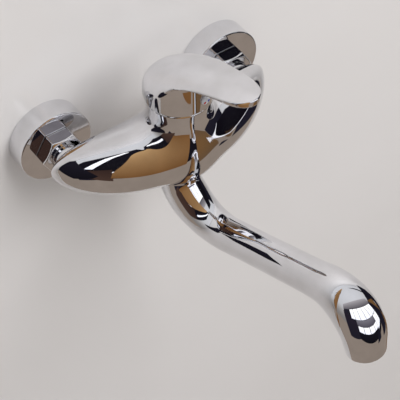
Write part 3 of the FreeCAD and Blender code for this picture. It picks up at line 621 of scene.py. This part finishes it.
def spout_table():
    """Lean of the centre line from straight down, and its reach and height, by distance."""
    step = 0.25
    s = np.arange(0, SPOUT_MARKS[-1] + 8 * step, step)
    lean = np.interp(s, SPOUT_MARKS, np.concatenate(
        [[0.0], np.cumsum([math.radians(turn) for turn, length in SPOUT_ROUTE])]))
    middle = np.concatenate([[0], (lean[1:] + lean[:-1]) / 2])
    reach = np.cumsum(np.sin(middle) * step)
    z = SPOUT_TOP - np.cumsum(np.cos(middle) * step) + step
    return s, lean, reach, z


SPOUT_LINE = spout_table()


def spout_place(distance):
    """Centre, direction and cross axes of the spout at a distance along it."""
    s, lean, reach, z = SPOUT_LINE
    lean_here = np.interp(distance, s, lean)
    bend = (np.interp(distance + 1, s, lean) - np.interp(distance - 1, s, lean)) / 2
    centre = np.array([0.0, -np.interp(distance, s, reach), np.interp(distance, s, z)])
    along = np.array([0.0, -math.sin(lean_here), -math.cos(lean_here)])
    inward = np.array([0.0, -math.cos(lean_here), math.sin(lean_here)])
    return centre, along, inward, np.cross(along, inward), bend


def spout_radius(distance):
    """Outer radius; a station counts the route's stretches, with parts of one between."""
    at = [np.interp(station, np.arange(len(SPOUT_MARKS)), SPOUT_MARKS)
          for station, radius in SPOUT_RADII]
    return spline(at, [radius for station, radius in SPOUT_RADII], distance)


def spout():
    """The swivel spout with its swellings, its bore and the socket of the aerator."""
    length = float(SPOUT_MARKS[-1])
    outer_s = np.arange(1.0, length - 1.2, 0.8)
    seat = length - AERATOR_DEPTH
    inner_s = outer_s[(outer_s > CAVITY_START + 1) & (outer_s < seat - 3)][::-3]
    top = eased([(0.0, SPOUT_BORE_R, 0.3), (0.0, JOINT_R, 0.35), (3.0, JOINT_R + 0.1, 0.0)])
    top = top[(top[:, 0] < 0.9) & (top[:, 1] > 9)]
    last = float(spout_radius(length))
    mouth = eased([(length - 4, last + 0.1, 0.0), (length, last, 0.9), (length, AERATOR_R, 0.3),
                   (length - 4, AERATOR_R, 0.0)])[1:-1]
    inside = [(seat, AERATOR_R), (seat, SEAT_R), (seat - SEAT_THICK, SEAT_R)]
    inside += [(s, float(spout_radius(s)) - SPOUT_WALL) for s in inner_s]
    inside += [(CAVITY_START, WATERWAY_R), (NIPPLE_FOOT, WATERWAY_R), (NIPPLE_FOOT, NIPPLE_R)]
    outline = np.concatenate([top, np.stack([outer_s, spout_radius(outer_s)], axis=1),
                              mouth, np.array(inside)])
    points, faces, normals = rolled(outline, spout_place, around=112)
    points = about_hub(swung(points, SPOUT_SWIVEL))
    return piece("spout_shell", points, faces, swung(normals, SPOUT_SWIVEL), "spout", "chrome",
                 "spout_tube")


def aerator_shell():
    """The threaded sleeve with its proud lip at the outlet."""
    centre, out, first, second, bend = spout_place(float(SPOUT_MARKS[-1]))
    bore, thread = AERATOR_R - AERATOR_WALL, AERATOR_R - 0.05
    corners = [(AERATOR_LIP, AERATOR_BORE_R, 0.3), (0.4, AERATOR_BORE_R, 0.1), (0.4, bore, 0.1),
               (-AERATOR_LENGTH, bore, 0.3), (-AERATOR_LENGTH, thread, 0.3), (0.0, thread, 0.0),
               (0.02, AERATOR_LIP_R, 0.35), (AERATOR_LIP, AERATOR_LIP_R, 0.6)]
    outline = eased(corners)
    points, faces, normals = rolled(outline, straight(centre, out), around=112)
    points = about_hub(swung(points, SPOUT_SWIVEL))
    return piece("aerator_lip", points, faces, swung(normals, SPOUT_SWIVEL), "spout", "chrome",
                 "aerator_housing")


# Materials

CUT_MM = 0.6                    # spacing of the cutting lines on turned brass


def colour(code):
    """A hexadecimal screen colour as the linear values that the shaders use."""
    parts = [int(code[k:k + 2], 16) / 255 for k in (0, 2, 4)]
    return [p / 12.92 if p <= 0.04045 else ((p + 0.055) / 1.055) ** 2.4 for p in parts] + [1.0]


def add(tree, kind, inputs=None, **settings):
    """One node with its settings; inputs are values or the sockets that feed them."""
    made = tree.nodes.new(kind)
    for name, value in settings.items():
        setattr(made, name, value)
    for name, value in (inputs or {}).items():
        if isinstance(value, bpy.types.NodeSocket):
            tree.links.new(value, made.inputs[name])
        else:
            made.inputs[name].default_value = value
    return made


def started(name):
    """A new material with only its shader, its output and metre-sized coordinates."""
    material = bpy.data.materials.new(name)
    material.use_nodes = True
    tree = material.node_tree
    tree.nodes.clear()
    shader = add(tree, "ShaderNodeBsdfPrincipled")
    add(tree, "ShaderNodeOutputMaterial", {"Surface": shader.outputs["BSDF"]})
    place = add(tree, "ShaderNodeTexCoord").outputs["Object"]
    return material, tree, shader, place


def noise(tree, place, size_mm, detail=2.0):
    """Soft noise whose patches are about size_mm across."""
    return add(tree, "ShaderNodeTexNoise",
               {"Vector": place, "Scale": 1 / (size_mm * MM), "Detail": detail}).outputs["Fac"]


def spread(tree, value, low, high, start=0.3, end=0.7):
    """A value between start and end, stretched to lie between low and high."""
    return add(tree, "ShaderNodeMapRange",
               {"Value": value, "From Min": start, "From Max": end,
                "To Min": low, "To Max": high}).outputs["Result"]


def mixed(tree, share, first, second):
    """A blend of two screen colours."""
    made = add(tree, "ShaderNodeMix", {"Factor": share}, data_type="RGBA")
    made.inputs["A"].default_value = colour(first)
    made.inputs["B"].default_value = colour(second)
    return made.outputs["Result"]


def bump(tree, shader, height, depth_mm, strength=1.0):
    """Small waves in a surface, about depth_mm deep."""
    made = add(tree, "ShaderNodeBump", {"Height": height, "Distance": depth_mm * MM,
                                        "Strength": strength})
    tree.links.new(made.outputs["Normal"], shader.inputs["Normal"])


def polished_chrome():
    """Bright plated brass: a clear, slightly wavy mirror, a little duller in soft patches."""
    material, tree, shader, place = started("polished_chrome")
    shader.inputs["Metallic"].default_value = 1.0
    film = noise(tree, place, 16.0, 3.0)
    specks = noise(tree, place, 1.8, 2.0)
    tree.links.new(mixed(tree, spread(tree, film, 0.0, 1.0), "E9E9EC", "DDDDDF"),
                   shader.inputs["Base Color"])
    dull = add(tree, "ShaderNodeMath", {0: spread(tree, film, 0.012, 0.045),
                                        1: spread(tree, specks, 0.0, 0.02, 0.6, 0.8)},
               operation="ADD")
    tree.links.new(dull.outputs[0], shader.inputs["Roughness"])
    bump(tree, shader, noise(tree, place, 22.0, 1.0), 0.05, 0.35)
    return material


def machined_brass():
    """Turned brass inside the joints: warm yellow with cutting lines, coarser than real ones."""
    material, tree, shader, place = started("machined_brass")
    shader.inputs["Metallic"].default_value = 1.0
    tree.links.new(mixed(tree, spread(tree, noise(tree, place, 6.0), 0.0, 1.0), "C9A25C", "A98341"),
                   shader.inputs["Base Color"])
    shader.inputs["Roughness"].default_value = 0.28
    lines = add(tree, "ShaderNodeTexWave", {"Vector": place, "Scale": 1 / (CUT_MM * MM) / 6.28,
                                            "Distortion": 0.4}, bands_direction="Y")
    bump(tree, shader, lines.outputs["Fac"], 0.02, 0.5)
    return material


def black_rubber():
    """Seals and washers: matt black with a faint grey bloom."""
    material, tree, shader, place = started("black_rubber")
    tree.links.new(mixed(tree, spread(tree, noise(tree, place, 4.0), 0.0, 1.0), "1C1C1D", "2B2B2B"),
                   shader.inputs["Base Color"])
    shader.inputs["Roughness"].default_value = 0.7
    bump(tree, shader, noise(tree, place, 0.5), 0.03, 0.4)
    return material


def lapped_ceramic():
    """Alumina discs: dense white with a fine ground sheen."""
    material, tree, shader, place = started("lapped_ceramic")
    tree.links.new(mixed(tree, noise(tree, place, 3.0), "EDE8DE", "E2DACC"),
                   shader.inputs["Base Color"])
    shader.inputs["Roughness"].default_value = 0.22
    bump(tree, shader, noise(tree, place, 0.3), 0.01, 0.3)
    return material


def moulded_acetal():
    """Cartridge and aerator mouldings: milky grey plastic with a light mould texture."""
    material, tree, shader, place = started("moulded_acetal")
    tree.links.new(mixed(tree, noise(tree, place, 5.0), "C6C6C3", "B6B6B3"),
                   shader.inputs["Base Color"])
    shader.inputs["Roughness"].default_value = 0.42
    bump(tree, shader, noise(tree, place, 0.4), 0.02, 0.4)
    return material


def plain_steel():
    """Screws, pin and sieves: grey steel with a brushed grain."""
    material, tree, shader, place = started("plain_steel")
    shader.inputs["Metallic"].default_value = 1.0
    tree.links.new(mixed(tree, noise(tree, place, 2.0), "A9A9AB", "8F8F92"),
                   shader.inputs["Base Color"])
    tree.links.new(spread(tree, noise(tree, place, 0.6), 0.22, 0.36), shader.inputs["Roughness"])
    return material


def glossy_button():
    """The index button: pale grey moulded plastic with a clear gloss."""
    material, tree, shader, place = started("glossy_button")
    tree.links.new(mixed(tree, noise(tree, place, 2.5), "C9CBD1", "B9BCC2"),
                   shader.inputs["Base Color"])
    tree.links.new(spread(tree, noise(tree, place, 1.0), 0.08, 0.14), shader.inputs["Roughness"])
    return material


def enamel(name, light, dark):
    """A filled index mark: glossy enamel, a little darker where it pools."""
    material, tree, shader, place = started(name)
    tree.links.new(mixed(tree, noise(tree, place, 0.8), light, dark), shader.inputs["Base Color"])
    shader.inputs["Roughness"].default_value = 0.18
    return material


# Setting

def card(name, corners, faces=((0, 1, 2, 3),)):
    """Flat sheets of the studio, with corners in metres."""
    mesh = bpy.data.meshes.new(name)
    mesh.from_pydata(corners, [], faces)
    mesh.update()
    made = placed(name, mesh)
    return made


def wall():
    """Pale glazed wall, seen from the room side only."""
    made = card("wall", upright((-3, 3), (FLOOR_Z, 2.4), 0))
    material, tree, shader, place = started("pale_glaze")
    tree.links.new(mixed(tree, noise(tree, place, 180.0), "E4E1E0", "DDDAD8"),
                   shader.inputs["Base Color"])
    shader.inputs["Roughness"].default_value = 0.16
    behind = add(tree, "ShaderNodeNewGeometry").outputs["Backfacing"]
    seen = add(tree, "ShaderNodeLightPath").outputs["Is Camera Ray"]
    hide = add(tree, "ShaderNodeMath", {0: behind, 1: seen}, operation="MULTIPLY")
    clear = add(tree, "ShaderNodeBsdfTransparent")
    both = add(tree, "ShaderNodeMixShader", {0: hide.outputs[0], 1: shader.outputs["BSDF"],
                                             2: clear.outputs[0]})
    out = [n for n in tree.nodes if n.type == "OUTPUT_MATERIAL"][0]
    tree.links.new(both.outputs[0], out.inputs["Surface"])
    made.data.materials.append(material)
    return made


def floor():
    """Plain pale floor, far below the tap."""
    made = card("floor", level((-4, 4), (-5, 0), FLOOR_Z))
    material, tree, shader, place = started("pale_floor")
    tree.links.new(mixed(tree, noise(tree, place, 300.0), "D6D3CF", "CFCBC7"),
                   shader.inputs["Base Color"])
    shader.inputs["Roughness"].default_value = 0.6
    made.data.materials.append(material)
    return made


def mirrored(name, corners, low, high=None, strength=1.0, faces=((0, 1, 2, 3),)):
    """A card that shows only in the chrome, shaded from its lowest to its highest colour."""
    made = card(name, corners, faces)
    material = bpy.data.materials.new(name)
    material.use_nodes = True
    tree = material.node_tree
    tree.nodes.clear()
    rise = add(tree, "ShaderNodeSeparateXYZ",
               {0: add(tree, "ShaderNodeTexCoord").outputs["Generated"]}).outputs["Z"]
    light = add(tree, "ShaderNodeEmission", {"Color": mixed(tree, rise, low, high or low),
                                             "Strength": strength})
    add(tree, "ShaderNodeOutputMaterial", {"Surface": light.outputs[0]})
    made.data.materials.append(material)
    made.visible_camera = False
    made.visible_diffuse = False
    made.visible_shadow = False
    return made


def upright(x, z, y):
    """Corners of a card that stands along the wall."""
    return [(x[0], y, z[0]), (x[1], y, z[0]), (x[1], y, z[1]), (x[0], y, z[1])]


def level(x, y, z):
    """Corners of a card that lies flat."""
    return [(x[0], y[0], z), (x[1], y[0], z), (x[1], y[1], z), (x[0], y[1], z)]


def sideways(x, y, z):
    """Corners of a card that stands across the wall."""
    return [(x, y[0], z[0]), (x, y[1], z[0]), (x, y[1], z[1]), (x, y[0], z[1])]


def softbox(name, x, z, columns):
    """A row of bright panes across the room."""
    corners, faces = [], []
    wide = (x[1] - x[0]) / columns
    for column in range(columns):
        left = x[0] + wide * column
        faces.append([len(corners) + k for k in range(4)])
        corners += upright((left + PANE_GAP, left + wide - PANE_GAP),
                           (z[0] + PANE_GAP, z[1] - PANE_GAP), FAR_Y + 0.04)
    return mirrored(name, corners, *PANE, PANE_STRENGTH, faces)


def cut_out(name, corners, low, high, strength=1.0):
    """A card with as many sides as it has corners."""
    return mirrored(name, corners, low, high, strength, (tuple(range(len(corners))),))


def near_cards():
    """Close to the tap on its left: a warm board before a dark screen, a ledge and a softbox."""
    board = [(-0.159, -0.067), (-0.060, -0.073), (0.004, -0.073), (0.004, 0.310), (-0.023, 0.321),
             (-0.039, 0.318), (-0.057, 0.294), (-0.074, 0.251), (-0.086, 0.197), (-0.101, 0.138),
             (-0.118, 0.088), (-0.137, 0.042), (-0.152, 0.001)]
    cut_out("warm_board", [(x, NEAR_Y, z) for x, z in board], "7C5633", "CDA676")
    mirrored("near_screen", upright((-0.503, -0.008), (0.028, 0.565), NEAR_Y - 0.004),
             BLACK, NEAR_BLACK)
    mirrored("brown_ledge", upright((-0.503, -0.153), (-0.115, 0.051), NEAR_Y - 0.003),
             "4E3B33", "3C2C28")
    streak = [(-0.308, 0.083), (-0.241, 0.074), (-0.148, 0.329), (-0.057, 0.456),
              (-0.085, 0.511), (-0.203, 0.383)]
    cut_out("side_softbox", [(x, NEAR_Y - 0.002, z) for x, z in streak], *PANE, PANE_STRENGTH)


def right_cards():
    """To the right of the tap: a dark screen over a bright sill and a brown ledge."""
    mirrored("right_ledge", upright((0.055, 0.235), (-0.13, -0.03), RIGHT_Y), "6B543E", "7A5A38")
    mirrored("right_screen", upright((0.185, 0.60), (-0.06, 0.50), RIGHT_Y), "100E14", "1C1A22")
    mirrored("right_sill", upright((0.176, 0.60), (-0.072, -0.062), RIGHT_Y), *PANE, 1.3)


def side_cards():
    """Dark screens across the wall: far out on both sides, and a small one by the left wing."""
    mirrored("right_side_screen", sideways(1.0, (-0.75, -0.05), (-0.74, 0.45)), DIM, NEAR_BLACK)
    mirrored("left_side_screen", sideways(-1.0, (-1.55, -0.60), (-0.74, 0.30)), DIM, "2A2430")
    band = [(-0.112, -0.008), (-0.099, -0.018), (-0.066, -0.016), (-0.044, 0.004), (-0.038, 0.048),
            (-0.048, 0.060), (-0.074, 0.032), (-0.098, 0.008)]
    cut_out("band_screen", [(-0.110, y, z) for y, z in band], BLACK, DIM)


def far_cards():
    """Across the room: dark below, grey above, with three rows of bright panes."""
    mirrored("low_screen", upright((0.55, 1.0), (-0.74, -0.30), -1.15), DIM, NEAR_BLACK)
    mirrored("far_screen", upright((-FAR_X, FAR_X), (BOARD_Z, SCREEN_TOP), FAR_Y),
             "141319", "2A2833")
    mirrored("upper_screen", upright((-FAR_X, FAR_X), (SCREEN_TOP, 2.5), FAR_Y),
             "6A666C", "B9B5B8")
    mirrored("grey_rail", upright((-1.0, 1.2), (0.12, 0.48), FAR_Y + 0.02), "5B5862", "86838C")
    softbox("low_softbox", (-0.95, 1.2), (-0.25, 0.12), 4)
    softbox("high_softbox", (-1.6, 2.6), (0.48, 1.38), 7)
    softbox("end_softbox", (1.2, 2.6), (-0.40, 0.48), 2)
    mirrored("floor_board", level((-FAR_X, FAR_X), (FAR_Y, -0.03), BOARD_Z), "978A7F")


def surroundings():
    """Plain pale studio: what the camera sees is even, what the chrome sees has a soft ceiling."""
    world = bpy.data.worlds.new("studio")
    bpy.context.scene.world = world
    world.use_nodes = True
    tree = world.node_tree
    tree.nodes.clear()
    height = add(tree, "ShaderNodeSeparateXYZ",
                 {0: add(tree, "ShaderNodeTexCoord").outputs["Generated"]}).outputs["Z"]
    ramp = add(tree, "ShaderNodeValToRGB", {"Fac": spread(tree, height, 0.0, 1.0, -1.0, 1.0)})
    stops = ramp.color_ramp.elements
    stops[0].position, stops[0].color = 0.3, colour("8D8378")
    stops[1].position, stops[1].color = 1.0, colour("F1F2F6")
    for position, code in ((0.5, "9A9694"), (0.62, "BDBAB8"), (0.75, "E2E3E6")):
        stop = stops.new(position)
        stop.color = colour(code)
    seen = add(tree, "ShaderNodeLightPath").outputs["Is Camera Ray"]
    pale = add(tree, "ShaderNodeMix", {"Factor": seen, "A": ramp.outputs["Color"],
                                       "B": colour("D3D0CD")}, data_type="RGBA")
    back = add(tree, "ShaderNodeBackground", {"Color": pale.outputs["Result"],
                                              "Strength": ROOM_STRENGTH})
    add(tree, "ShaderNodeOutputWorld", {"Surface": back.outputs[0]})


def soft_light(name, place, target, size, power):
    """A white area lamp that lights the room but shows in no mirror."""
    data = bpy.data.lights.new(name, "AREA")
    data.shape = "RECTANGLE"
    data.size, data.size_y = size, size
    data.energy = power
    made = placed(name, data)
    made.location = place
    aim = Vector(target) - Vector(place)
    made.rotation_euler = aim.to_track_quat("-Z", "Y").to_euler()
    made.visible_camera = False
    made.visible_glossy = False
    return made


def camera():
    """Seen from above and from the left, with a long lens."""
    azimuth, elevation, roll = (math.radians(v) for v in (AZIMUTH, ELEVATION, ROLL))
    back = Vector((math.sin(azimuth) * math.cos(elevation),
                   -math.cos(azimuth) * math.cos(elevation), math.sin(elevation)))
    across = Vector((math.cos(azimuth), math.sin(azimuth), 0))
    rise = back.cross(across)
    right = across * math.cos(roll) + rise * math.sin(roll)
    up = -across * math.sin(roll) + rise * math.cos(roll)
    place = (right * CAMERA_RIGHT - up * CAMERA_DOWN + back * CAMERA_BACK) * MM
    data = bpy.data.cameras.new("camera")
    data.lens = LENS
    data.sensor_width = SENSOR
    data.clip_start = 0.01
    made = placed("camera", data)
    made.matrix_world = Matrix((
        (right.x, up.x, back.x, place.x), (right.y, up.y, back.y, place.y),
        (right.z, up.z, back.z, place.z), (0, 0, 0, 1)))
    bpy.context.scene.camera = made
    return made


def main():
    """Dresses every piece, then sets the studio round the tap."""
    chrome = polished_chrome()
    button = glossy_button()
    finishes = {"chrome": chrome, "brass": machined_brass(), "rubber": black_rubber(),
                "ceramic": lapped_ceramic(), "plastic": moulded_acetal(), "steel": plain_steel(),
                "index_plug": button, "mark_hot": enamel("red_enamel", "C01A1E", "A01216"),
                "mark_cold": enamel("blue_enamel", "1A3DAE", "142E86")}
    for part in frame["record"]["subparts"]:
        mesh = frame["nodes"][part["node"]].data
        mesh.materials.clear()
        mesh.materials.append(finishes[part["material_slot"]])
    plated = [body_casting(), lever(), cover_ball(), spout(), aerator_shell()]
    for name, x in (("left", -INLET_X), ("right", INLET_X)):
        plated += [escutcheon_shell(name, x), union_nut(name, x)]
    for made in plated:
        made.data.materials.append(chrome)
    index_button().data.materials.append(button)
    wall()
    floor()
    near_cards()
    right_cards()
    side_cards()
    far_cards()
    surroundings()
    soft_light("overhead", LAMP_PLACE, LAMP_AIM, LAMP_SIZE, LAMP_WATTS)
    camera()
    bpy.context.scene.view_settings.view_transform = "Standard"


main()
